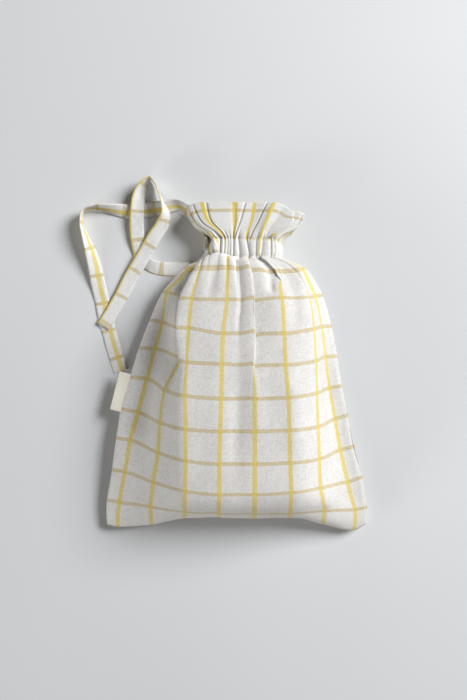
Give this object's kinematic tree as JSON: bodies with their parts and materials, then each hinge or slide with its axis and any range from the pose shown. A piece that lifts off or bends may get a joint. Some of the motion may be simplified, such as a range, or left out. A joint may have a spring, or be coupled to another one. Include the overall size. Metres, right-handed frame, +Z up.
{
  "type": "bread bag",
  "caption": "Full drawstring bread bag of check cloth lying on its back, with a gathered casing, an open ruffled header, a flat cloth drawstring with two loose tails and a bare side label",
  "frame": {"origin": "bottom centre of the bag's own box as it lies on its back, without the loose tails of the drawstring", "axes": "+X across the bag to the right, +Y along the bag towards the mouth, +Z up from the table"},
  "size_m": [0.3167, 0.3909, 0.07],
  "materials": {
    "check_cloth": "plain woven natural cloth with a yellow and ochre windowpane check",
    "tie_cloth": "the same check cloth, folded and stitched into a flat tape",
    "label_ribbon": "cream cotton ribbon"
  },
  "bodies": {
    "root": {"front_panel": "check_cloth", "back_panel": "check_cloth", "front_casing": "check_cloth", "back_casing": "check_cloth", "front_ruffle": "check_cloth", "back_ruffle": "check_cloth", "drawstring_in_casing": "tie_cloth", "tie_upper": "tie_cloth", "tie_lower": "tie_cloth", "side_label": "label_ribbon"}
  },
  "joints": []
}
